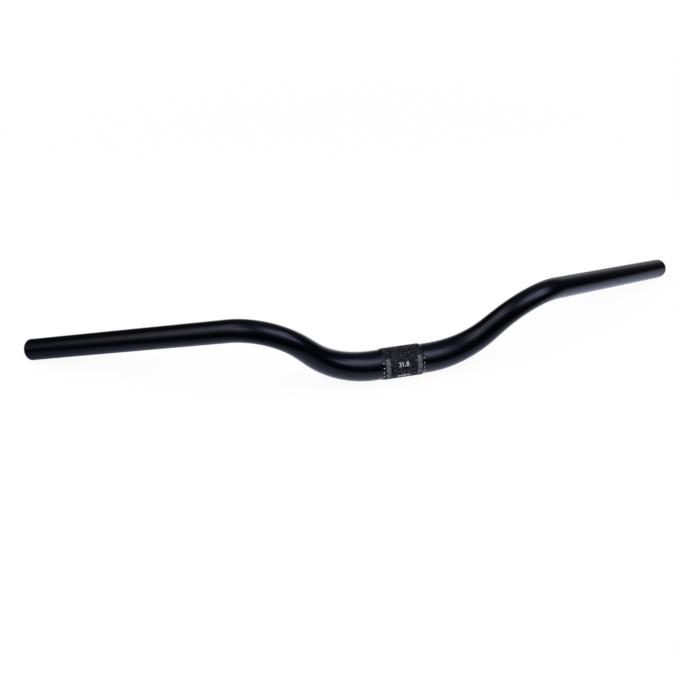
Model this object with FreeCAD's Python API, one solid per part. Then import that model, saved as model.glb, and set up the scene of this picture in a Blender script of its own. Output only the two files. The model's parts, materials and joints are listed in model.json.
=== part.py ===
"""Riser handlebar of a bicycle: one aluminium tube, swaged, butted and bent, with a raised band for the stem.

Millimetres.  The bar lies as it comes to rest on a table: on the underside of the clamp band and on both
tube ends, with its two rises arched upwards between them.  X runs along the clamp's axis, Y towards the
ends of the grips and Z up.  The origin is the centre of the clamp band.
"""
import FreeCAD
import Part

import math
import os

# Clamp: the band that the stem holds, and the tube that it stands out of
CLAMP_DIAMETER = 31.8
CLAMP_WIDTH = 40.0
CLAMP_SHOULDER = 1.4
CENTRE_DIAMETER = 30.2

# Grips and the bore of the butted tube
GRIP_DIAMETER = 22.2
CENTRE_BORE = 26.0
GRIP_BORE = 18.2
EDGE_BREAK = 0.5
BORE_OVERRUN = 2.0

# Line of the tube: the corners that its two bends round off on each side
INNER_CORNER_X = 63.8
INNER_BEND_RADIUS = 86.5
OUTER_CORNER_X = 128.3
OUTER_CORNER_Y = -5.8
OUTER_CORNER_Z = 66.8
OUTER_BEND_RADIUS = 64.0
GRIP_RUN = 273.6
BACK_SWEEP = math.radians(26.4)

# Taper: where along the tube it has come down to the grip's diameter, how many sections shape it and how
# closely the swept surface follows them
TAPER_END = 160.0
TAPER_SECTIONS = 14
SWEEP_TOLERANCE = 0.01

CLAMP_RADIUS = CLAMP_DIAMETER / 2
GRIP_RADIUS = GRIP_DIAMETER / 2
X_AXIS = FreeCAD.Vector(1, 0, 0)
Y_AXIS = FreeCAD.Vector(0, 1, 0)


def grip_drop():
    """Angle that the grips fall by, so that both ends touch the table that the clamp band lies on."""
    run = GRIP_RUN - EDGE_BREAK
    fall = OUTER_CORNER_Z + CLAMP_RADIUS
    return math.asin(fall / math.hypot(run, GRIP_RADIUS)) - math.atan2(GRIP_RADIUS, run)


def grip_direction():
    """Unit vector along the right grip, from the outer bend to the end of the tube."""
    drop = grip_drop()
    level = math.cos(drop)
    return FreeCAD.Vector(level * math.cos(BACK_SWEEP), level * math.sin(BACK_SWEEP), -math.sin(drop))


class Bend:
    """Arc that rounds off the corner between two directions of the tube."""

    def __init__(self, corner, before, after, radius):
        self.before = before
        self.after = after
        self.radius = radius
        self.turn = before.getAngle(after)
        self.length = radius * self.turn
        setback = radius * math.tan(self.turn / 2)
        self.start = corner - before * setback
        self.end = corner + after * setback
        axis = before.cross(after).normalize()
        self.inward = axis.cross(before)

    def at(self, distance):
        """Point and direction after a distance along the arc."""
        angle = distance / self.radius
        point = self.start + self.before * (self.radius * math.sin(angle))
        point = point + self.inward * (self.radius * (1 - math.cos(angle)))
        direction = self.before * math.cos(angle) + self.inward * math.sin(angle)
        return point, direction

    def edge(self):
        """The arc itself."""
        middle, direction = self.at(self.length / 2)
        return Part.Arc(self.start, middle, self.end).toShape()


INNER_CORNER = FreeCAD.Vector(INNER_CORNER_X, 0, 0)
OUTER_CORNER = FreeCAD.Vector(OUTER_CORNER_X, OUTER_CORNER_Y, OUTER_CORNER_Z)
RISE_DIRECTION = (OUTER_CORNER - INNER_CORNER).normalize()
GRIP_DIRECTION = grip_direction()
GRIP_END = OUTER_CORNER + GRIP_DIRECTION * GRIP_RUN
INNER_BEND = Bend(INNER_CORNER, X_AXIS, RISE_DIRECTION, INNER_BEND_RADIUS)
OUTER_BEND = Bend(OUTER_CORNER, RISE_DIRECTION, GRIP_DIRECTION, OUTER_BEND_RADIUS)
RISE_RUN = (OUTER_BEND.start - INNER_BEND.end).Length

# Distances along the tube from the middle of the clamp
INNER_BEND_START = INNER_BEND.start.x
INNER_BEND_END = INNER_BEND_START + INNER_BEND.length
OUTER_BEND_START = INNER_BEND_END + RISE_RUN
OUTER_BEND_END = OUTER_BEND_START + OUTER_BEND.length


def centreline(distance):
    """Point and direction of the tube's centreline in the bent stretch of the right half."""
    if distance < INNER_BEND_END:
        return INNER_BEND.at(distance - INNER_BEND_START)
    if distance < OUTER_BEND_START:
        return INNER_BEND.end + RISE_DIRECTION * (distance - INNER_BEND_END), RISE_DIRECTION
    return OUTER_BEND.at(distance - OUTER_BEND_START)


def taper(distance, centre, grip):
    """Diameter along the tube: it leaves the centre's size without a corner and fades into the grip's."""
    along = (distance - INNER_BEND_START) / (TAPER_END - INNER_BEND_START)
    along = min(max(along, 0.0), 1.0)
    return grip + (centre - grip) * (1 - along) ** 3 * (1 + 3 * along)


def section(distance, centre, grip):
    """Round section of the bent stretch, square to its centreline, with its seam on the Y side."""
    point, direction = centreline(distance)
    circle = Part.makeCircle(taper(distance, centre, grip) / 2)
    turn = FreeCAD.Rotation(Y_AXIS, FreeCAD.Vector(), direction, "ZXY")
    circle.Placement = FreeCAD.Placement(point, turn)
    return Part.Wire(circle)


def bent_stretch(centre, grip):
    """Tapering solid swept round both bends of the right half, through sections spread along it."""
    rise = Part.makeLine(INNER_BEND.end, OUTER_BEND.start)
    sweep = Part.BRepOffsetAPI.MakePipeShell(Part.Wire([INNER_BEND.edge(), rise, OUTER_BEND.edge()]))
    sweep.setTolerance(SWEEP_TOLERANCE, SWEEP_TOLERANCE, SWEEP_TOLERANCE)
    step = (OUTER_BEND_END - INNER_BEND_START) / (TAPER_SECTIONS - 1)
    for number in range(TAPER_SECTIONS):
        sweep.add(section(INNER_BEND_START + number * step, centre, grip))
    sweep.build()
    sweep.makeSolid()
    return sweep.shape()


def clamp_stretch():
    """Straight middle of the tube, turned with the band that stands out of it."""
    band = CLAMP_WIDTH / 2
    profile = [
        (INNER_BEND_START, 0),
        (INNER_BEND_START, CENTRE_DIAMETER / 2),
        (band + CLAMP_SHOULDER, CENTRE_DIAMETER / 2),
        (band, CLAMP_RADIUS),
    ]
    mirrored = [(-x, radius) for x, radius in reversed(profile)]
    corners = [FreeCAD.Vector(x, 0, radius) for x, radius in profile + mirrored]
    face = Part.Face(Part.makePolygon(corners + corners[:1]))
    return face.revolve(FreeCAD.Vector(), X_AXIS, 360)


def straight_bore():
    """Bore of the straight middle."""
    start = FreeCAD.Vector(-INNER_BEND_START, 0, 0)
    return Part.makeCylinder(CENTRE_BORE / 2, 2 * INNER_BEND_START, start, X_AXIS)


def grip_stretch(diameter, extra):
    """Straight grip of the right half, or the bore in it, which runs an extra length past the tube's end."""
    length = (GRIP_END - OUTER_BEND.end).Length + extra
    return Part.makeCylinder(diameter / 2, length, OUTER_BEND.end, GRIP_DIRECTION)


def whole_length(middle, bend, grip):
    """One solid of the middle and of a bend and a grip on each side of it."""
    right = [bend, grip]
    left = [shape.mirror(FreeCAD.Vector(), X_AXIS) for shape in right]
    return middle.multiFuse(right + left).removeSplitter()


def end_rims(tube):
    """The outer and inner edges of both tube ends."""
    left_end = FreeCAD.Vector(-GRIP_END.x, GRIP_END.y, GRIP_END.z)
    rims = []
    for edge in tube.Edges:
        closed = edge.isClosed() and isinstance(edge.Curve, Part.Circle)
        if closed and min(edge.Curve.Center.distanceToPoint(end) for end in (left_end, GRIP_END)) < EDGE_BREAK:
            rims.append(edge)
    return rims


def handlebar():
    """The whole bar: the outer form less its bore, with the edges of the tube's ends broken."""
    outside = whole_length(
        clamp_stretch(),
        bent_stretch(CENTRE_DIAMETER, GRIP_DIAMETER),
        grip_stretch(GRIP_DIAMETER, 0),
    )
    bore = whole_length(
        straight_bore(),
        bent_stretch(CENTRE_BORE, GRIP_BORE),
        grip_stretch(GRIP_BORE, BORE_OVERRUN),
    )
    tube = outside.cut(bore)
    return tube.makeChamfer(EDGE_BREAK, end_rims(tube))


def main():
    bar = handlebar()
    os.makedirs("parts", exist_ok=True)
    bar.exportStep("parts/handlebar.step")
    box = bar.optimalBoundingBox()
    print("valid", bar.isValid(), "solids", len(bar.Solids), "volume", round(bar.Volume))
    print("size", round(box.XLength, 2), round(box.YLength, 2), round(box.ZLength, 2))
    print("lowest", round(box.ZMin, 3), "front", round(box.YMin, 3), "back", round(box.YMax, 3))


if __name__ == "__main__":
    main()
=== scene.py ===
"""Looks of a bicycle's riser handlebar: a satin black tube, its knurled clamp band and the print on the band.

Metres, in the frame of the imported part: X along the clamp's axis, Y towards the ends of the grips and Z up,
with the origin in the middle of the clamp band.  Distances along the tube are measured from there, positive
to the right.  Angles round the tube start at its top and grow towards the viewer.
"""

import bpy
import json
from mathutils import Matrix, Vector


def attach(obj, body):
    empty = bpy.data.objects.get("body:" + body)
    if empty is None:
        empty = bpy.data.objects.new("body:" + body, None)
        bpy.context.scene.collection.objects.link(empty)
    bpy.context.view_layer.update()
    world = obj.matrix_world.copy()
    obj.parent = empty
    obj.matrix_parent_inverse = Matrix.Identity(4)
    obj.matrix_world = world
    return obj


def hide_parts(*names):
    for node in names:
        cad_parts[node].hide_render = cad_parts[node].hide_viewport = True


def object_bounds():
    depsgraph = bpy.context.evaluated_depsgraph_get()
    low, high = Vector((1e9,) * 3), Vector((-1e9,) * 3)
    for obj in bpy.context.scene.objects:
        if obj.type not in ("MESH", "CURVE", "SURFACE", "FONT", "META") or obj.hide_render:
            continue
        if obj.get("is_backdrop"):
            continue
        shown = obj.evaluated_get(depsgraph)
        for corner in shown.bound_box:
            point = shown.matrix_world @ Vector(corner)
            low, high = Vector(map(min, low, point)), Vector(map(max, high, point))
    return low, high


bl_info = {
    "name": "Riser Handlebar",
    "version": (1, 0, 0),
    "blender": (4, 5, 0),
    "location": "3D View > Sidebar > Handlebar",
    "description": "Builds a satin black riser handlebar, its clamp print and a white studio around it",
    "category": "Add Mesh",
}

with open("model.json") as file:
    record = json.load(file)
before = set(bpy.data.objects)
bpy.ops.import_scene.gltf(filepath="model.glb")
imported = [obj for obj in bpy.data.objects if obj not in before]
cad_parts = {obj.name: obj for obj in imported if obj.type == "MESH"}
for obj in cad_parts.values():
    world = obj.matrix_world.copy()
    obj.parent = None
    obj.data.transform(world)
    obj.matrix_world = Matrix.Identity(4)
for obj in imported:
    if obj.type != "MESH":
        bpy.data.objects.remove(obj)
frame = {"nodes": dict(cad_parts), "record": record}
CAD_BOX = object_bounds()

import json
import math

import bpy
import numpy as np
from bpy.props import FloatProperty, FloatVectorProperty, IntProperty, PointerProperty
from bpy.types import NodeSocket, Operator, Panel, PropertyGroup
from mathutils import Vector

MM = 0.001
BODY = "root"
BAR_NODE = "handlebar"
MOUNTS = {mount["name"]: mount for mount in frame["record"]["mounts"]}
CLAMP = MOUNTS["stem_clamp"]
GRIP = MOUNTS["right_grip"]
GRIP_BORE = MOUNTS["right_end_bore"]
SIDES = (-1, 1)
X_AXIS = np.array((1.0, 0.0, 0.0))
Z_AXIS = np.array((0.0, 0.0, 1.0))


def linear(hex_colour):
    """Linear RGBA of an sRGB hex colour: a straight toe up to 0.04045, and a power of 2.4 above it."""
    channels = np.array([int(hex_colour[start:start + 2], 16) for start in (1, 3, 5)]) / 255
    toe = channels / 12.92
    curve = ((channels + 0.055) / 1.055) ** 2.4
    return (*np.where(channels <= 0.04045, toe, curve).tolist(), 1.0)


def length(name, description, millimetres):
    """Property of a length, given in millimetres and kept in metres."""
    return FloatProperty(
        name=name, description=description, default=millimetres * MM, min=0, subtype="DISTANCE", unit="LENGTH"
    )


def angle(name, description, degrees):
    """Property of an angle, given in degrees and kept in radians."""
    return FloatProperty(
        name=name, description=description, default=math.radians(degrees), subtype="ANGLE", unit="ROTATION"
    )


def count(name, description, default):
    """Property of a whole number."""
    return IntProperty(name=name, description=description, default=default, min=1)


def colour(name, description, hex_colour):
    """Property of a colour, given as sRGB hex and kept linear."""
    return FloatVectorProperty(
        name=name, description=description, default=linear(hex_colour), size=4, min=0, max=1, subtype="COLOR"
    )


def level(name, description, default):
    """Property of a brightness, where 1 is white."""
    return FloatProperty(name=name, description=description, default=default, min=0)


class HandlebarTube(PropertyGroup):
    """Sizes of the tube."""

    clamp_diameter: length("Clamp diameter", "Across the band that the stem holds", 2 * CLAMP["dims"]["r_mm"])
    clamp_width: length("Clamp width", "Width of the band", CLAMP["dims"]["length_mm"])
    clamp_shoulder: length("Clamp shoulder", "Length of the slope beside the band", 1.4)
    shoulder_round: length("Shoulder round", "How far back the shoulder's corners are rounded", 0.35)
    centre_diameter: length("Centre diameter", "Across the tube beside the band", 30.2)
    centre_bore: length("Centre bore", "Across the bore inside the band", 26.0)
    grip_diameter: length("Grip diameter", "Across the grips", 2 * GRIP["dims"]["r_mm"])
    grip_bore: length("Grip bore", "Across the bore inside the grips", 2 * GRIP_BORE["dims"]["r_mm"])
    edge_break: length("Edge break", "Chamfer of the tube's ends", 0.5)
    edge_round: length("Edge round", "How far back the corners of the ends are rounded", 0.12)
    inner_corner: length("Inner corner", "From the middle to the corner of the inner bend", 63.8)
    inner_bend_radius: length("Inner bend radius", "Radius of the bend up to the rise", 86.5)
    outer_corner_lead: length("Outer corner lead", "From the clamp's axis forward to the outer corner", 5.8)
    outer_bend_radius: length("Outer bend radius", "Radius of the bend into the grip", 64.0)
    taper_end: length("Taper end", "Distance at which the tube has come down to the grip's size", 160.0)
    knurl_depth: length("Knurl depth", "Height of the knurl's points above its valleys", 0.07)
    knurl_rows: count("Knurl rows", "Rows of points and valleys from the middle to the knurl's edge", 31)
    segments: count("Segments", "Points round the tube, an even number", 160)


class HandlebarPrint(PropertyGroup):
    """Sizes of the print on the clamp band."""

    ink: length("Ink", "Thickness of the print", 0.02)
    figure_height: length("Figure height", "Height of the lines of the size number", 4.2)
    figure_stroke: length("Figure stroke", "Width of the lines of the size number", 0.36)
    figure_angle: angle("Figure angle", "Place of the size number round the band", 62)
    point_diameter: length("Point diameter", "Across the point of the size number", 0.65)
    dot_diameter: length("Dot diameter", "Across the dots beside the band", 0.8)
    dot_offset: length("Dot offset", "From the middle to the dots", 20.6)
    dot_angle: angle("Dot angle", "Place of the first dot round the band", 50)
    dot_step: angle("Dot step", "Angle between the dots", 17.5)
    dots: count("Dots", "Dots on each side", 4)
    tick_offset: length("Tick offset", "From the middle to the outer ends of the ticks", 18.2)
    tick_length: length("Tick length", "Length of the ticks", 4.2)
    tick_stroke: length("Tick stroke", "Width of the ticks", 0.5)
    tick_angle: angle("Tick angle", "Place of the first run of ticks round the band", 49)
    tick_step: angle("Tick step", "Angle between the ticks of a run", 3.5)
    ticks: count("Ticks", "Ticks in a run, an odd number", 7)
    run_step: angle("Run step", "Angle between the runs of ticks", 27)
    runs: count("Runs", "Runs of ticks on each side", 3)
    scale_angle: angle("Scale angle", "Place of the centring scale round the band", 112)
    scale_step: length("Scale step", "Distance between the ticks of the centring scale", 1.5)
    scale_tick: length("Scale tick", "Length of the ticks of the centring scale", 2.6)
    scale_ticks: count("Scale ticks", "Ticks of the centring scale, an odd number", 9)


class HandlebarFinish(PropertyGroup):
    """Colours of the bar's finishes."""

    anodised: colour("Anodised black", "Dyed oxide of the tube", "#020306")
    sheen: colour("Sheen", "Tint of the oxide's reflection", "#d4d7ff")
    knurled: colour("Knurled black", "Dyed oxide in the valleys of the knurled band", "#050507")
    worn: colour("Worn black", "Thinner oxide on the points of the knurled band", "#31313a")
    drawn: colour("Drawn black", "Thin dyed oxide of the bore", "#1c1d20")
    white_ink: colour("White ink", "Size number, dots and centring scale", "#f2f2f4")
    grey_ink: colour("Grey ink", "Graduation", "#707076")


class HandlebarStudio(PropertyGroup):
    """Camera, lamps and surroundings."""

    camera_place: FloatVectorProperty(
        name="Camera place",
        description="Where the camera stands",
        default=(-0.17898, -0.50712, 0.42413),
        subtype="TRANSLATION",
        unit="LENGTH",
    )
    camera_heading: angle("Camera heading", "Turn of the camera to the right of +Y", 13.013)
    camera_tilt: angle("Camera tilt", "Angle that the camera looks down by", 36.629)
    camera_lens: FloatProperty(
        name="Camera lens", description="Focal length in millimetres", default=36.0, min=1, unit="CAMERA"
    )
    sensor: FloatProperty(name="Sensor", description="Width of the sensor in millimetres", default=36.0)
    key: level("Key", "Brightness of the softbox on the right", 2.1)
    fill: level("Fill", "Brightness of the softbox on the left", 1.4)
    # brightness of the painted pool of light on the floor, which only reflections show
    painted_pool_light: level("Painted pool light", "Brightness of the floor under the bar, where the bar mirrors it", 1.9)
    ambient: level("Ambient", "Brightness of the even light on matte surfaces", 0.65)
    # brightness of the dark painted dome, which only reflections show
    cloth: level("Cloth", "Brightness of the dark cloth that the bar mirrors", 0.01)
    floor_glow: level("Floor glow", "Share of the floor that is plain white, the rest showing shadows", 0.92)


def add_node(tree, kind, inputs=None, **settings):
    """Adds a node with its settings; an input that is given a socket is linked to it, any other is set."""
    node = tree.nodes.new(kind)
    for name, value in settings.items():
        setattr(node, name, value)
    for name, value in (inputs or {}).items():
        if isinstance(value, NodeSocket):
            tree.links.new(value, node.inputs[name])
        else:
            node.inputs[name].default_value = value
    return node


def new_material(name):
    """Material with an empty node tree, and that tree."""
    material = bpy.data.materials.new(name)
    material.use_nodes = True
    material.node_tree.nodes.clear()
    return material, material.node_tree


OXIDE_INDEX = 1.5


def oxide_surface(tree, pattern, rough, relief, base, sheen, index=OXIDE_INDEX):
    """Shader of a dyed oxide: its gloss, between two roughnesses, and its relief follow one pattern.

    The roughnesses belong to the low and the high end of the range that a noise mostly keeps to.
    """
    low = 0.3
    high = 0.7
    bump_strength = 0.5
    gloss = add_node(
        tree,
        "ShaderNodeMapRange",
        {"Value": pattern, "From Min": low, "From Max": high, "To Min": rough[0], "To Max": rough[1]},
    )
    bump = add_node(
        tree, "ShaderNodeBump", {"Height": pattern, "Strength": bump_strength, "Distance": relief}
    )
    shader = add_node(
        tree,
        "ShaderNodeBsdfPrincipled",
        {
            "Base Color": base,
            "Roughness": gloss.outputs["Result"],
            "IOR": index,
            "Specular Tint": sheen,
            "Normal": bump.outputs["Normal"],
        },
    )
    add_node(tree, "ShaderNodeOutputMaterial", {"Surface": shader.outputs["BSDF"]})


def drawing_lines(tree, spacing, reach, detail):
    """Socket of the lengthwise lines that a drawing die leaves: a noise stretched along the tube."""
    place = add_node(tree, "ShaderNodeTexCoord")
    stretched = add_node(
        tree, "ShaderNodeMapping", {"Vector": place.outputs["UV"], "Scale": (1 / reach, 1 / spacing, 1)}
    )
    lines = add_node(
        tree, "ShaderNodeTexNoise", {"Vector": stretched.outputs["Vector"], "Scale": 1, "Detail": detail}
    )
    return lines.outputs["Fac"]


def anodised_aluminium(finish):
    """Satin black anodised aluminium: a drawn tube, blasted and then dyed in the bath.

    Clear oxide over black dye: deep black to the eye, with soft and slightly violet highlights that waver a
    little along the tube's drawing lines.
    """
    line_spacing = 1.5 * MM  # near 0.3 mm on the tube: drawn coarser, so that the lines show
    line_length = 60 * MM
    relief = 0.0015 * MM
    rough = (0.185, 0.21)
    material, tree = new_material("satin_black_anodised_aluminium")
    lines = drawing_lines(tree, line_spacing, line_length, detail=3)
    oxide_surface(tree, lines, rough, relief, finish.anodised, finish.sheen)
    return material


def knurled_aluminium(finish):
    """Knurled, blasted and black anodised aluminium: the skin that keeps the bar from turning in the stem.

    Its points break the highlight up, so the band looks matte, mottled and a little greyer than the tube.
    """
    grain = 1.5 * MM  # near 0.2 mm on the band: drawn coarser, so that it shows
    relief = 0.3 * MM
    rough = (0.60, 0.42)
    valley = 0.46  # level of the grain under which the black is whole
    point = 0.62  # level over which it is worn
    pitted_index = 1.22  # less than a smooth oxide's, as the pits of the skin mirror less
    material, tree = new_material("knurled_black_anodised_aluminium")
    place = add_node(tree, "ShaderNodeTexCoord")
    blasted = add_node(
        tree, "ShaderNodeTexNoise", {"Vector": place.outputs["Object"], "Scale": 1 / grain, "Detail": 3}
    )
    worn = add_node(tree, "ShaderNodeValToRGB", {"Fac": blasted.outputs["Fac"]})
    worn.color_ramp.elements[0].position = valley
    worn.color_ramp.elements[0].color = finish.knurled
    worn.color_ramp.elements[1].position = point
    worn.color_ramp.elements[1].color = finish.worn
    skin = worn.outputs["Color"]
    oxide_surface(tree, blasted.outputs["Fac"], rough, relief, skin, finish.sheen, pitted_index)
    return material


def drawn_aluminium(finish):
    """Drawn aluminium of the bore and the cut ends, under the thin oxide that the bath leaves there.

    The die's lines run lengthwise and show as streaks of gloss.
    """
    line_spacing = 0.8 * MM  # near 0.2 mm in the bore: drawn coarser, so that the lines show
    line_length = 40 * MM
    relief = 0.01 * MM
    rough = (0.35, 0.55)
    material, tree = new_material("drawn_black_aluminium")
    lines = drawing_lines(tree, line_spacing, line_length, detail=4)
    oxide_surface(tree, lines, rough, relief, finish.drawn, finish.sheen)
    return material


def pad_printed_ink(name, ink, black):
    """Pad-printed ink on the knurl: flat and chalky, thinner in specks where the black shows through."""
    speck = 0.7 * MM  # near 0.1 mm in the print: drawn coarser, so that they show
    bare = 0.2  # level of the specks under which no ink is left
    covered = 0.45  # level over which it covers
    material, tree = new_material(name)
    place = add_node(tree, "ShaderNodeTexCoord")
    specks = add_node(
        tree, "ShaderNodeTexNoise", {"Vector": place.outputs["Object"], "Scale": 1 / speck, "Detail": 2}
    )
    cover = add_node(tree, "ShaderNodeValToRGB", {"Fac": specks.outputs["Fac"]})
    cover.color_ramp.elements[0].position = bare
    cover.color_ramp.elements[0].color = black
    cover.color_ramp.elements[1].position = covered
    cover.color_ramp.elements[1].color = ink
    shader = add_node(
        tree,
        "ShaderNodeBsdfPrincipled",
        {"Base Color": cover.outputs["Color"], "Roughness": 0.55, "IOR": 1.45},
    )
    add_node(tree, "ShaderNodeOutputMaterial", {"Surface": shader.outputs["BSDF"]})
    return material


def unit(vector):
    """Vector of length one in the same direction, for one vector or for an array of them."""
    return vector / np.linalg.norm(vector, axis=-1, keepdims=True)


class Run:
    """Stretch of the tube's centreline: a straight, or an arc that turns from one direction to another."""

    def __init__(self, before, extent, after=None, radius=None):
        self.before = before
        self.length = extent
        self.radius = radius
        if radius:
            self.inward = unit(after - before * (after @ before))

    def advance(self, passed):
        """Way made and direction after a passed length.

        On a straight the way is the length along its direction.  On an arc it is the radius times the sine
        of the angle passed along the old direction, plus the radius times one less the cosine along the
        inward one.
        """
        passed = passed[:, None]
        if not self.radius:
            return passed * self.before, self.before
        turned = passed / self.radius
        along = np.sin(turned) * self.before
        inward = (1 - np.cos(turned)) * self.inward
        return self.radius * (along + inward), np.cos(turned) * self.before + np.sin(turned) * self.inward


class TubeLine:
    """Centreline of the tube: straight, arc, straight, arc and straight on each side of the middle.

    The outer corner is where the grip's line passes a lead in front of the clamp's axis.
    """

    def __init__(self, tube):
        grip_axis = np.array(GRIP["axis"])
        grip_middle = np.array(GRIP["pos_m"])
        grip_end = grip_middle + grip_axis * (GRIP["dims"]["length_mm"] * MM / 2 + tube.edge_break)
        inner_corner = tube.inner_corner * X_AXIS
        outer_corner = grip_middle - grip_axis * (grip_middle[1] + tube.outer_corner_lead) / grip_axis[1]
        rise_axis = unit(outer_corner - inner_corner)
        inner_turn = math.acos(X_AXIS @ rise_axis)
        outer_turn = math.acos(rise_axis @ grip_axis)
        inner_setback = tube.inner_bend_radius * math.tan(inner_turn / 2)
        outer_setback = tube.outer_bend_radius * math.tan(outer_turn / 2)
        rise = np.linalg.norm(outer_corner - inner_corner) - inner_setback - outer_setback
        grip = np.linalg.norm(grip_end - outer_corner) - outer_setback
        self.runs = (
            Run(X_AXIS, tube.inner_corner - inner_setback),
            Run(X_AXIS, tube.inner_bend_radius * inner_turn, rise_axis, tube.inner_bend_radius),
            Run(rise_axis, rise),
            Run(rise_axis, tube.outer_bend_radius * outer_turn, grip_axis, tube.outer_bend_radius),
            Run(grip_axis, grip),
        )
        self.bend_start = self.runs[0].length
        self.end = sum(run.length for run in self.runs)
        self.bend_end = self.end - grip

    def at(self, distance):
        """Points and directions at distances: the ways of all runs added up, the left side mirrored."""
        side = np.where(distance < 0, -1.0, 1.0)
        ahead = np.abs(distance)
        point = np.zeros((len(distance), 3))
        direction = np.tile(X_AXIS, (len(distance), 1))
        for run in self.runs:
            way, heading = run.advance(np.clip(ahead, 0, run.length))
            point += way
            direction = np.where(ahead[:, None] >= 0, heading, direction)
            ahead = ahead - run.length
        point[:, 0] *= side
        direction[:, 1:] *= side[:, None]
        return point, direction

    def surface(self, distance, radius, turn):
        """Points round the centreline: radius times (cosine of the turn upwards plus sine across).

        Upwards is the part of Z square to the tube's direction, and across is square to both.  Distance is an
        array of rings, turn one of columns, and radius a grid of both.
        """
        point, direction = self.at(distance)
        upwards = unit(Z_AXIS - direction * direction[:, 2:])
        across = np.cross(direction, upwards)
        outwards = np.cos(turn)[:, None] * upwards[:, None, :] + np.sin(turn)[:, None] * across[:, None, :]
        return point[:, None, :] + radius[:, :, None] * outwards


def taper(distance, start, end, centre, grip):
    """Diameter along the tube: the grip's, plus the difference times (1 - t) cubed times (1 + 3 t).

    The share t runs from 0 at the start to 1 at the end.
    """
    along = np.clip((distance - start) / (end - start), 0, 1)
    return grip + (centre - grip) * (1 - along) ** 3 * (1 + 3 * along)


def rounded(corners, setback):
    """Outline through corners, each but the first and last a parabola between points a setback away."""
    curve_points = 5
    corners = np.array(corners)
    middle = corners[1:-1]
    before = middle + setback * unit(corners[:-2] - middle)
    after = middle + setback * unit(corners[2:] - middle)
    share = np.linspace(0, 1, curve_points)[:, None, None]
    curves = (1 - share) ** 2 * before + 2 * share * (1 - share) * middle + share ** 2 * after
    return np.concatenate((corners[:1], curves.swapaxes(0, 1).reshape(-1, 2), corners[-1:]))


def stations(start, stop, step):
    """Distances from after start up to stop, evenly spaced by about a step."""
    return np.linspace(start, stop, math.ceil(abs(stop - start) / step) + 1)[1:]


ANODISED, KNURLED, DRAWN = range(3)


def section_outline(tube, line, ink):
    """Right half of the tube's lengthwise section, from the outside of the middle round the end to its bore.

    Gives distance and radius of each ring, and the finish of the stretch before it.
    """
    band_radius = tube.clamp_diameter / 2 - ink
    centre_radius = tube.centre_diameter / 2
    grip_radius = tube.grip_diameter / 2
    bore_radius = tube.grip_bore / 2
    band_edge = tube.clamp_width / 2
    break_start = line.end - tube.edge_break
    rim_run = 4 * tube.edge_break
    rim_start = line.end - rim_run
    knurl_pitch = 2 * math.pi * band_radius / tube.segments
    knurl_edge = tube.knurl_rows * knurl_pitch
    taper_ends = (line.bend_start, tube.taper_end)
    bend_step = 2.5 * MM
    grip_step = 8 * MM
    grip_bore_step = 15 * MM
    bend_bore_step = 4 * MM
    centre_bore_step = 10 * MM

    knurl = np.arange(tube.knurl_rows + 1) * knurl_pitch
    shoulder = rounded(
        (
            (knurl_edge, band_radius),
            (band_edge, band_radius),
            (band_edge + tube.clamp_shoulder, centre_radius),
            (line.bend_start, centre_radius),
        ),
        tube.shoulder_round,
    )
    bends = stations(line.bend_start, line.bend_end, bend_step)
    grip = stations(line.bend_end, rim_start, grip_step)
    rim = rounded(
        (
            (rim_start, grip_radius),
            (break_start, grip_radius),
            (line.end, grip_radius - tube.edge_break),
            (line.end, bore_radius + tube.edge_break),
            (break_start, bore_radius),
            (rim_start, bore_radius),
        ),
        tube.edge_round,
    )
    grip_bore = stations(rim_start, line.bend_end, grip_bore_step)
    bend_bore = stations(line.bend_end, line.bend_start, bend_bore_step)
    centre_bore = stations(line.bend_start, 0, centre_bore_step)
    bends_radius = taper(bends, *taper_ends, tube.centre_diameter, tube.grip_diameter) / 2
    bore_taper = taper(bend_bore, *taper_ends, tube.centre_bore, tube.grip_bore) / 2

    stretches = (
        (KNURLED, np.stack((knurl, np.full_like(knurl, band_radius)), axis=1)),
        (ANODISED, shoulder[1:]),
        (ANODISED, np.stack((bends, bends_radius), axis=1)),
        (ANODISED, np.stack((grip, np.full_like(grip, grip_radius)), axis=1)),
        (DRAWN, rim[1:]),
        (DRAWN, np.stack((grip_bore, np.full_like(grip_bore, bore_radius)), axis=1)),
        (DRAWN, np.stack((bend_bore, bore_taper), axis=1)),
        (DRAWN, np.stack((centre_bore, np.full_like(centre_bore, tube.centre_bore / 2)), axis=1)),
    )
    outline = np.concatenate([points for finish, points in stretches])
    finishes = np.concatenate([np.full(len(points), finish) for finish, points in stretches])
    return outline, finishes


def ring_quads(rings, columns, closed):
    """Corners of the quads between neighbouring rings, which wrap round, and from last to first if closed."""
    ring = np.arange(rings if closed else rings - 1)[:, None]
    column = np.arange(columns)[None, :]
    after = (ring + 1) % rings
    beside = (column + 1) % columns
    corners = (
        ring * columns + column,
        ring * columns + beside,
        after * columns + beside,
        after * columns + column,
    )
    return np.stack(corners, axis=-1)


def split_quads(corners, low_first):
    """Triangles of quads that are cut between their two low corners, either first and third or the others."""
    turned = np.where(low_first, corners, np.roll(corners, -1, axis=1))
    return np.concatenate((turned[:, (0, 1, 2)], turned[:, (0, 2, 3)]))


def unrolled(outline, tube):
    """Corners of the quads on the unrolled tube: the way along the outline, and the way round the band."""
    step = np.linalg.norm(np.roll(outline, -1, axis=0) - outline, axis=1)
    along = np.concatenate(((0,), np.cumsum(step)))
    around = np.arange(tube.segments + 1) * tube.clamp_diameter * math.pi / tube.segments
    uv = np.zeros((len(outline), tube.segments, 4, 2))
    uv[:, :, (0, 1), 0] = along[:-1, None, None]
    uv[:, :, (2, 3), 0] = along[1:, None, None]
    uv[:, :, (0, 3), 1] = around[:-1, None]
    uv[:, :, (1, 2), 1] = around[1:, None]
    return uv


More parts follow.
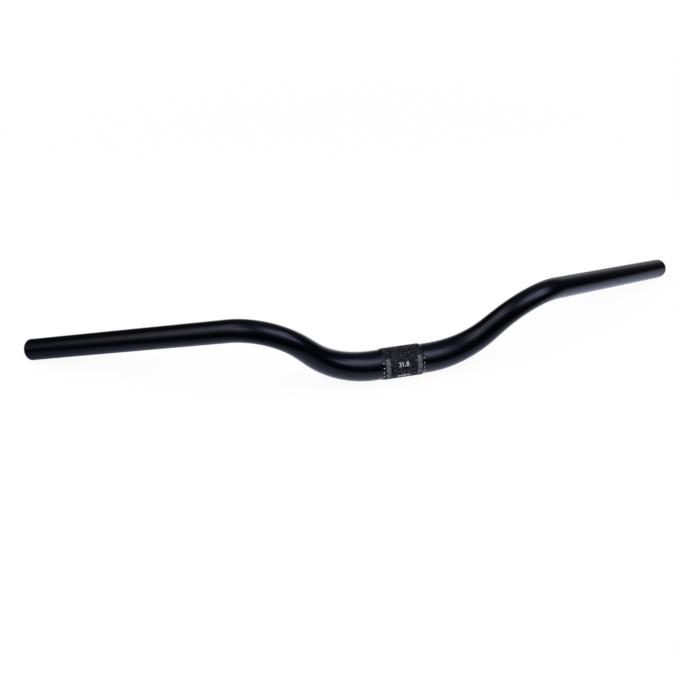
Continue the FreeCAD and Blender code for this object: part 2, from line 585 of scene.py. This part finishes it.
def tube_mesh(tube, ink):
    """Mesh of the whole tube, outside, ends and bore: the section's outline carried round the centreline.

    The outline is mirrored to the left half and closed.  In the knurl every second point of a chequer pattern
    is lowered, and its quads are split between the low corners, so that the high ones stand up as points.
    """
    line = TubeLine(tube)
    half, half_finish = section_outline(tube, line, ink)
    outline = np.concatenate((half, half[-2:0:-1] * (-1, 1)))
    number = np.concatenate((np.arange(len(half)), np.arange(len(half) - 2, 0, -1)))
    finish = np.concatenate((half_finish[1:], half_finish[:0:-1]))
    column = np.arange(tube.segments)
    turn = column * 2 * math.pi / tube.segments
    low = ((number[:, None] + column) % 2 == 1) & (number < tube.knurl_rows)[:, None]
    radius = outline[:, 1:] - tube.knurl_depth * low
    vertices = line.surface(outline[:, 0], radius, turn).reshape(-1, 3)

    quads = ring_quads(len(outline), tube.segments, True)
    knurled = finish == KNURLED
    plain = quads[~knurled].reshape(-1, 4)
    pointed = quads[knurled].reshape(-1, 4)
    low_first = low[knurled].reshape(-1, 1)
    triangles = split_quads(pointed, low_first)
    uv = unrolled(outline, tube)
    plain_uv = uv[~knurled].reshape(-1, 2)
    pointed_uv = uv[knurled].reshape(-1, 4, 2)
    triangle_uv = split_quads(pointed_uv, low_first[:, :, None]).reshape(-1, 2)

    mesh = bpy.data.meshes.new("tube")
    mesh.from_pydata(vertices, [], plain.tolist() + triangles.tolist())
    plain_finish = np.repeat(finish[~knurled], tube.segments)
    finishes = np.concatenate((plain_finish, np.full(len(triangles), KNURLED)))
    mesh.polygons.foreach_set("material_index", finishes.astype(np.int32))
    mesh.polygons.foreach_set("use_smooth", finishes != KNURLED)
    uv_map = mesh.uv_layers.new(name="along_and_around")
    uv_map.data.foreach_set("uv", np.concatenate((plain_uv, triangle_uv)).astype(np.float32).ravel())
    mesh.update()
    return mesh


def on_band(flat, turn, tube):
    """Wraps flat marks (along X, up, above) round the band: up becomes an angle back from the turn.

    Beside the band they follow the slope of its shoulder.
    """
    band_edge = tube.clamp_width / 2
    slope = (band_edge, band_edge + tube.clamp_shoulder)
    radii = (tube.clamp_diameter / 2, tube.centre_diameter / 2)
    out = np.interp(np.abs(flat[..., 0]), slope, radii) + flat[..., 2]
    angle_round = turn - flat[..., 1] / radii[0]
    return np.stack((flat[..., 0], -out * np.sin(angle_round), out * np.cos(angle_round)), axis=-1)


def stroke(path, width, ink, closed=False):
    """Flat line of ink: a box profile carried along a path, offset to each side by half its width.

    The side is the path's direction turned a quarter.  An open line has its two ends capped.
    """
    path = np.array(path, dtype=float)
    if closed:
        heading = np.roll(path, -1, axis=0) - np.roll(path, 1, axis=0)
    else:
        heading = np.gradient(path, axis=0)
    side = unit(heading)[:, ::-1] * (-1, 1) * width / 2
    left = path + side
    right = path - side
    low = np.full((len(path), 1), -ink)
    high = np.zeros((len(path), 1))
    profile = (
        np.hstack((left, low)),
        np.hstack((left, high)),
        np.hstack((right, high)),
        np.hstack((right, low)),
    )
    corners = len(profile)
    faces = ring_quads(len(path), corners, closed).reshape(-1, corners).tolist()
    if not closed:
        last = (len(path) - 1) * corners
        faces += [[3, 2, 1, 0], [last, last + 1, last + 2, last + 3]]
    return np.stack(profile, axis=1).reshape(-1, 3), faces


def dot(centre, diameter, ink):
    """Flat round dot of ink: a disc with its rim drawn in at the top, capped above and below."""
    columns = 20
    top_share = 0.93
    edge_drop = ink / 3
    turn = np.arange(columns) * 2 * math.pi / columns
    circle = np.stack((np.cos(turn), np.sin(turn)), axis=1) * diameter / 2
    rims = ((1.0, -ink), (1.0, -edge_drop), (top_share, 0.0))
    rings = [np.hstack((centre + share * circle, np.full((columns, 1), height))) for share, height in rims]
    top = (len(rims) - 1) * columns
    faces = ring_quads(len(rims), columns, False).reshape(-1, 4).tolist()
    faces += [list(range(columns))[::-1], list(range(top, top + columns))]
    return np.concatenate(rings), faces


def bowl(centre, radii, start, stop):
    """Part of an ellipse between two angles in degrees: its centre, plus its radii times cosine and sine."""
    points = 32
    turn = np.radians(np.linspace(start, stop, points))
    return np.stack((centre[0] + radii[0] * np.cos(turn), centre[1] + radii[1] * np.sin(turn)), axis=1)


def loop(centre, radii):
    """Whole ellipse, without its last point, which is its first."""
    return bowl(centre, radii, 0, 360)[:-1]


def number_strokes():
    """Figures of the plain size number 31.8, in shares of their height, and whether each line is closed."""
    three = -1.06
    one = -0.32
    eight = 0.8
    stem_points = 12
    stem = np.stack((np.full(stem_points, one), np.linspace(-0.5, 0.5, stem_points)), axis=1)
    flag = np.array(((one - 0.15, 0.35), (one, 0.5)))
    return (
        (bowl((three, 0.26), (0.21, 0.24), 155, -90), False),
        (bowl((three, -0.24), (0.25, 0.26), 90, -155), False),
        (stem, False),
        (flag, False),
        (loop((eight, 0.26), (0.22, 0.24)), True),
        (loop((eight, -0.24), (0.26, 0.26)), True),
    )


POINT_PLACE = (0.14, -0.46)  # of the size number's point, in shares of the figures' height


def add_piece(name, mesh, materials):
    """Object of a mesh at the origin, with its materials, riding on the bar."""
    for material in materials:
        mesh.materials.append(material)
    piece = bpy.data.objects.new(name, mesh)
    bpy.context.scene.collection.objects.link(piece)
    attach(piece, BODY)
    return piece


def print_piece(name, marks, tube, material):
    """Adds a piece of several marks, each given as its flat points, its faces and its turn round the band."""
    vertices = []
    faces = []
    first = 0
    for flat, mark_faces, turn in marks:
        vertices.append(on_band(flat, turn, tube))
        faces += [[first + corner for corner in face] for face in mark_faces]
        first += len(flat)
    mesh = bpy.data.meshes.new(name)
    mesh.from_pydata(np.concatenate(vertices), [], faces)
    add_piece(name, mesh, (material,))


class BuildTube(Operator):
    """Build the bent and tapered tube with its knurled clamp band"""

    bl_idname = "handlebar.build_tube"
    bl_label = "Tube"

    def execute(self, context):
        if BAR_NODE not in frame["nodes"]:
            raise RuntimeError(f"the frame has no node named {BAR_NODE}")
        tube = context.scene.handlebar_tube
        finish = context.scene.handlebar_finish
        materials = (anodised_aluminium(finish), knurled_aluminium(finish), drawn_aluminium(finish))
        piece = add_piece("tube", tube_mesh(tube, context.scene.handlebar_print.ink), materials)
        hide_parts(BAR_NODE)
        return {"FINISHED"}


class PrintClamp(Operator):
    """Print the size number, the dots, the graduation and the centring scale on the clamp band"""

    bl_idname = "handlebar.print_clamp"
    bl_label = "Clamp print"

    def execute(self, context):
        sizes = context.scene.handlebar_print
        finish = context.scene.handlebar_finish
        tube = context.scene.handlebar_tube
        white = pad_printed_ink("white_pad_printed_ink", finish.white_ink, finish.knurled)
        grey = pad_printed_ink("grey_pad_printed_ink", finish.grey_ink, finish.knurled)
        print_piece("size_number", self.number(sizes), tube, white)
        print_piece("edge_dots", self.dots(sizes), tube, white)
        print_piece("graduation", self.graduation(sizes), tube, grey)
        print_piece("centring_scale", self.scale(sizes), tube, white)
        return {"FINISHED"}

    def number(self, sizes):
        """Marks of the size number: the lines of its figures, and its point."""
        for path, closed in number_strokes():
            line = path * sizes.figure_height
            yield *stroke(line, sizes.figure_stroke, sizes.ink, closed), sizes.figure_angle
        point = np.array(POINT_PLACE) * sizes.figure_height
        yield *dot(point, sizes.point_diameter, sizes.ink), sizes.figure_angle

    def dots(self, sizes):
        """Marks of the dots along both edges of the band."""
        for side in SIDES:
            for number in range(sizes.dots):
                turn = sizes.dot_angle + number * sizes.dot_step
                yield *dot((side * sizes.dot_offset, 0), sizes.dot_diameter, sizes.ink), turn

    def graduation(self, sizes):
        """Marks of the ticks on both sides, in runs round the band."""
        outer = sizes.tick_offset
        inner = sizes.tick_offset - sizes.tick_length
        first = -(sizes.ticks // 2)
        for side in SIDES:
            for run in range(sizes.runs):
                middle = sizes.tick_angle + run * sizes.run_step
                for number in range(first, first + sizes.ticks):
                    ends = ((side * outer, 0), (side * inner, 0))
                    yield *stroke(ends, sizes.tick_stroke, sizes.ink), middle + number * sizes.tick_step

    def scale(self, sizes):
        """Marks of the centring scale: short upright ticks, the middle one twice as long."""
        middle = sizes.scale_ticks // 2
        points = 5
        for number in range(sizes.scale_ticks):
            along = (number - middle) * sizes.scale_step
            half = sizes.scale_tick / 2 * (2 if number == middle else 1)
            path = np.stack((np.full(points, along), np.linspace(-half, half, points)), axis=1)
            yield *stroke(path, sizes.tick_stroke, sizes.ink), sizes.scale_angle


def softbox(name, away, reach, radiance):
    """Round lamp of an even brightness for the matte surfaces, aimed at the bar from a direction.

    Reach is half the angle that the lamp spans, in degrees.  A flat lamp's power is its brightness times its
    area times pi.  The lamp is hidden from reflections: the bar mirrors the painted highlights on the dome
    instead.
    """
    distance = 2.0
    radius = distance * math.tan(math.radians(reach))
    lamp = bpy.data.lights.new(name, "AREA")
    lamp.shape = "DISK"
    lamp.size = 2 * radius
    lamp.energy = radiance * (math.pi * radius) ** 2
    holder = bpy.data.objects.new(name, lamp)
    holder.location = away * distance
    holder.rotation_euler = away.to_track_quat("Z", "Y").to_euler()
    holder.visible_glossy = False
    bpy.context.scene.collection.objects.link(holder)


def light_paths(tree):
    """Sockets that are 1 for rays from the camera, and for those that gloss or glass sends on."""
    path = add_node(tree, "ShaderNodeLightPath")
    sent_on = add_node(
        tree,
        "ShaderNodeMath",
        {0: path.outputs["Is Glossy Ray"], 1: path.outputs["Is Transmission Ray"]},
        operation="MAXIMUM",
    )
    return path.outputs["Is Camera Ray"], sent_on.outputs["Value"]


# Painted pool of light on the floor, which only reflections show: metres behind the clamp's axis, and share
# of its brightness in each colour
PAINTED_POOL = (
    (-0.18, (0.0, 0.0, 0.0)),
    (-0.11, (0.12, 0.13, 0.13)),
    (-0.05, (0.32, 0.34, 0.37)),
    (0.01, (0.62, 0.66, 0.80)),
    (0.08, (0.66, 0.72, 0.95)),
    (0.20, (0.92, 0.88, 0.88)),
)


def white_floor_painted_pool(glow, painted_pool_light):
    """White floor: plain white to the camera, with a faint shadow that fades away from the bar.

    Reflections show a painted pool of light under the bar, a glow that only gloss and glass see: a bell curve
    across the floor times steps along it.
    """
    shadow_whole = 0.5
    shadow_gone = 1.4
    pool_middle = 0.09
    pool_reach = 0.33
    front = PAINTED_POOL[0][0]
    back = PAINTED_POOL[-1][0]
    material, tree = new_material("white_floor_painted_reflection")
    camera, sent_on = light_paths(tree)
    place = add_node(tree, "ShaderNodeTexCoord")
    spot = add_node(tree, "ShaderNodeSeparateXYZ", {"Vector": place.outputs["Object"]})
    aside = add_node(
        tree,
        "ShaderNodeMath",
        {0: spot.outputs["X"], 1: 1 / pool_reach, 2: -pool_middle / pool_reach},
        operation="MULTIPLY_ADD",
    )
    squared = add_node(
        tree, "ShaderNodeMath", {0: aside.outputs["Value"], 1: aside.outputs["Value"]}, operation="MULTIPLY"
    )
    bell = add_node(tree, "ShaderNodeMath", {0: 1 / math.e, 1: squared.outputs["Value"]}, operation="POWER")
    depth = add_node(
        tree, "ShaderNodeMapRange", {"Value": spot.outputs["Y"], "From Min": front, "From Max": back}
    )
    steps = add_node(tree, "ShaderNodeValToRGB", {"Fac": depth.outputs["Result"]})
    ramp = steps.color_ramp
    for number in range(1, len(PAINTED_POOL) - 1):
        ramp.elements.new(number / len(PAINTED_POOL))
    for element, (place_behind, shade) in zip(ramp.elements, PAINTED_POOL):
        element.position = (place_behind - front) / (back - front)
        element.color = (*shade, 1.0)
    mirrored = add_node(
        tree, "ShaderNodeMath", {0: bell.outputs["Value"], 1: painted_pool_light}, operation="MULTIPLY"
    )
    tinted = add_node(
        tree,
        "ShaderNodeVectorMath",
        {0: steps.outputs["Color"], "Scale": mirrored.outputs["Value"]},
        operation="SCALE",
    )
    # painted pool of light, a glow that only reflections see
    painted_pool = add_node(tree, "ShaderNodeEmission", {"Color": tinted.outputs["Vector"]})
    white = add_node(tree, "ShaderNodeEmission", {"Color": (1, 1, 1, 1)})
    sheet = add_node(tree, "ShaderNodeBsdfDiffuse", {"Color": linear("#f8f8f8")})
    away = add_node(tree, "ShaderNodeVectorMath", {0: place.outputs["Object"]}, operation="LENGTH")
    plain = add_node(
        tree,
        "ShaderNodeMapRange",
        {"Value": away.outputs["Value"], "From Min": shadow_whole, "From Max": shadow_gone, "To Min": glow},
        interpolation_type="SMOOTHSTEP",
    )
    share = add_node(tree, "ShaderNodeMath", {0: camera, 1: plain.outputs["Result"]}, operation="MULTIPLY")
    seen = add_node(
        tree,
        "ShaderNodeMixShader",
        {0: share.outputs["Value"], 1: sheet.outputs["BSDF"], 2: white.outputs["Emission"]},
    )
    # gloss and glass see the painted pool, other rays the white floor with its shadow
    mixed = add_node(
        tree, "ShaderNodeMixShader", {0: sent_on, 1: seen.outputs["Shader"], 2: painted_pool.outputs["Emission"]}
    )
    add_node(tree, "ShaderNodeOutputMaterial", {"Surface": mixed.outputs["Shader"]})
    return material


def towards(heading, height):
    """Unit vector towards a heading, from +Y towards +X, and a height over the horizon, both in degrees."""
    turn = math.radians(heading)
    rise = math.radians(height)
    return Vector((math.sin(turn) * math.cos(rise), math.cos(turn) * math.cos(rise), math.sin(rise)))


# Painted highlights on the dome, standing in for the lamps' reflections: heading, height and angle of half
# brightness in degrees, and each colour
PAINTED_HIGHLIGHTS = (
    (144.0, 60.0, 17.0, (1.6, 1.65, 1.85)),
    (158.0, 62.0, 8.0, (1.15, 1.2, 1.3)),
    (113.0, 54.0, 8.0, (2.3, 2.3, 2.8)),
    (140.0, 44.0, 9.0, (1.3, 1.1, 1.0)),
    (126.0, 33.0, 7.0, (2.2, 2.6, 3.2)),
    (-96.5, 41.0, 13.5, (1.35, 1.3, 1.25)),
    (-124.5, 39.0, 12.5, (0.8, 0.7, 0.6)),
    (-80.0, 55.0, 12.0, (0.95, 0.85, 0.8)),
    (-130.0, 50.0, 7.5, (1.5, 1.5, 1.6)),
    (25.0, 60.0, 30.0, (0.1, 0.1, 0.12)),
    (18.0, 0.0, 17.0, (0.6, 0.6, 0.65)),
    (42.0, 0.0, 14.0, (0.5, 0.5, 0.55)),
)


def painted_dome_glows(brightness):
    """Dark dome with painted highlights: soft round glows that stand in for the reflections of the lamps.

    A glow falls off from its middle as a power of one half, whose exponent is one less the cosine of the
    angle from the middle, over the same for the angle of half brightness.
    """
    material, tree = new_material("painted_dome_reflections")
    place = add_node(tree, "ShaderNodeTexCoord")
    way = add_node(tree, "ShaderNodeVectorMath", {0: place.outputs["Object"]}, operation="NORMALIZE")
    cloth = add_node(tree, "ShaderNodeCombineXYZ", {"X": brightness, "Y": brightness, "Z": brightness})
    light = cloth.outputs["Vector"]
    for heading, height, half_angle, shade in PAINTED_HIGHLIGHTS:
        steepness = 1 / (1 - math.cos(math.radians(half_angle)))
        middle = towards(heading, height)
        near = add_node(
            tree, "ShaderNodeVectorMath", {0: way.outputs["Vector"], 1: middle}, operation="DOT_PRODUCT"
        )
        exponent = add_node(
            tree,
            "ShaderNodeMath",
            {0: near.outputs["Value"], 1: -steepness, 2: steepness},
            operation="MULTIPLY_ADD",
        )
        fall = add_node(tree, "ShaderNodeMath", {0: 0.5, 1: exponent.outputs["Value"]}, operation="POWER")
        added = add_node(
            tree,
            "ShaderNodeVectorMath",
            {0: fall.outputs["Value"], 1: shade, 2: light},
            operation="MULTIPLY_ADD",
        )
        light = added.outputs["Vector"]
    # the dome glows with its painted highlights; no lamp lights it
    glow = add_node(tree, "ShaderNodeEmission", {"Color": light})
    add_node(tree, "ShaderNodeOutputMaterial", {"Surface": glow.outputs["Emission"]})
    return material


def stage_piece(name, vertices, faces, material):
    """Stage object of a mesh, which isn't part of the bar."""
    mesh = bpy.data.meshes.new(name)
    mesh.from_pydata(vertices, [], faces)
    mesh.materials.append(material)
    piece = bpy.data.objects.new(name, mesh)
    bpy.context.scene.collection.objects.link(piece)
    piece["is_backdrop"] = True
    return piece


class SetStudio(Operator):
    """Set the white floor, the dark dome with its painted highlights, the softboxes and the camera"""

    bl_idname = "handlebar.set_studio"
    bl_label = "Studio"

    def execute(self, context):
        studio = context.scene.handlebar_studio
        floor_height = CAD_BOX[0].z
        self.floor(floor_height, studio)
        self.cloth(floor_height, studio)
        self.lamps(studio)
        self.world(context.scene, studio)
        self.camera(context.scene, studio)
        context.scene.view_settings.view_transform = "Standard"
        return {"FINISHED"}

    def floor(self, height, studio):
        """Square floor under the lowest point of the bar, with its painted pool of light for reflections."""
        half = 8.0
        corners = ((-half, -half, height), (half, -half, height), (half, half, height), (-half, half, height))
        stage_piece("floor", corners, [(0, 1, 2, 3)], white_floor_painted_pool(studio.floor_glow, studio.painted_pool_light))

    def cloth(self, height, studio):
        """Half sphere over the studio, which only reflections show, with the painted highlights of the lamps
        on it.

        A ring at a rise is the sphere's radius times its cosine across, and times its sine up.
        """
        radius = 2.5
        levels = 16
        columns = 48
        top = math.radians(89)
        turn = np.linspace(0, 2 * math.pi, columns, endpoint=False)
        rise = np.linspace(0, top, levels)[:, None]
        level_radius = radius * np.cos(rise)
        up = np.broadcast_to(height + radius * np.sin(rise), (levels, columns))
        points = np.stack((level_radius * np.cos(turn), level_radius * np.sin(turn), up), axis=-1)
        faces = ring_quads(levels, columns, False).reshape(-1, 4).tolist()
        walls = stage_piece("cloth", points.reshape(-1, 3), faces, painted_dome_glows(studio.cloth))
        walls.visible_camera = False
        walls.visible_diffuse = False
        walls.visible_shadow = False

    def lamps(self, studio):
        """Key softbox high in front on the right, and a dimmer one on the left."""
        softbox("key_softbox", towards(heading=145, height=58), reach=26, radiance=studio.key)
        softbox("fill_softbox", towards(heading=-105, height=45), reach=24, radiance=studio.fill)

    def world(self, scene, studio):
        """Even light: plain white where it is seen directly, and dimmer where it lights matte surfaces."""
        world = bpy.data.worlds.new("studio")
        world.use_nodes = True
        tree = world.node_tree
        tree.nodes.clear()
        camera, sent_on = light_paths(tree)
        seen = add_node(tree, "ShaderNodeMath", {0: camera, 1: sent_on}, operation="MAXIMUM")
        strength = add_node(
            tree,
            "ShaderNodeMapRange",
            {"Value": seen.outputs["Value"], "To Min": studio.ambient, "To Max": 1.0},
        )
        light = add_node(
            tree, "ShaderNodeBackground", {"Color": (1, 1, 1, 1), "Strength": strength.outputs["Result"]}
        )
        add_node(tree, "ShaderNodeOutputWorld", {"Surface": light.outputs["Background"]})
        scene.world = world

    def camera(self, scene, studio):
        """Camera that looks down on the bar from the left of its middle."""
        data = bpy.data.cameras.new("camera")
        data.lens = studio.camera_lens
        data.sensor_width = studio.sensor
        camera = bpy.data.objects.new("camera", data)
        camera.location = studio.camera_place
        camera.rotation_euler = (math.pi / 2 - studio.camera_tilt, 0, -studio.camera_heading)
        scene.collection.objects.link(camera)
        scene.camera = camera


class HandlebarPanel(Panel):
    """Sizes, colours and build steps of the handlebar"""

    bl_idname = "VIEW3D_PT_handlebar"
    bl_label = "Handlebar"
    bl_space_type = "VIEW_3D"
    bl_region_type = "UI"
    bl_category = "Handlebar"

    def draw(self, context):
        for operator, settings in STEPS:
            box = self.layout.box()
            for name in settings:
                group = getattr(context.scene, name)
                for entry in SETTINGS[name].__annotations__:
                    box.prop(group, entry)
            box.operator(operator.bl_idname)


SETTINGS = {
    "handlebar_tube": HandlebarTube,
    "handlebar_print": HandlebarPrint,
    "handlebar_finish": HandlebarFinish,
    "handlebar_studio": HandlebarStudio,
}
STEPS = (
    (BuildTube, ("handlebar_tube", "handlebar_finish")),
    (PrintClamp, ("handlebar_print",)),
    (SetStudio, ("handlebar_studio",)),
)
CLASSES = (*SETTINGS.values(), BuildTube, PrintClamp, SetStudio, HandlebarPanel)


def register():
    """Registers the classes and gives the scene its settings."""
    for entry in CLASSES:
        bpy.utils.register_class(entry)
    for name, group in SETTINGS.items():
        setattr(bpy.types.Scene, name, PointerProperty(type=group))


def unregister():
    """Takes the settings off the scene and the classes out of Blender."""
    for name in SETTINGS:
        delattr(bpy.types.Scene, name)
    for entry in reversed(CLASSES):
        bpy.utils.unregister_class(entry)


def main():
    """Registers the add-on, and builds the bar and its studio."""
    register()
    bpy.ops.handlebar.build_tube()
    bpy.ops.handlebar.print_clamp()
    bpy.ops.handlebar.set_studio()
    boxes = {"cad": CAD_BOX, "visual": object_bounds()}
    {name: [list(corner) for corner in box] for name, box in boxes.items()}


if __name__ == "__main__":
    main()
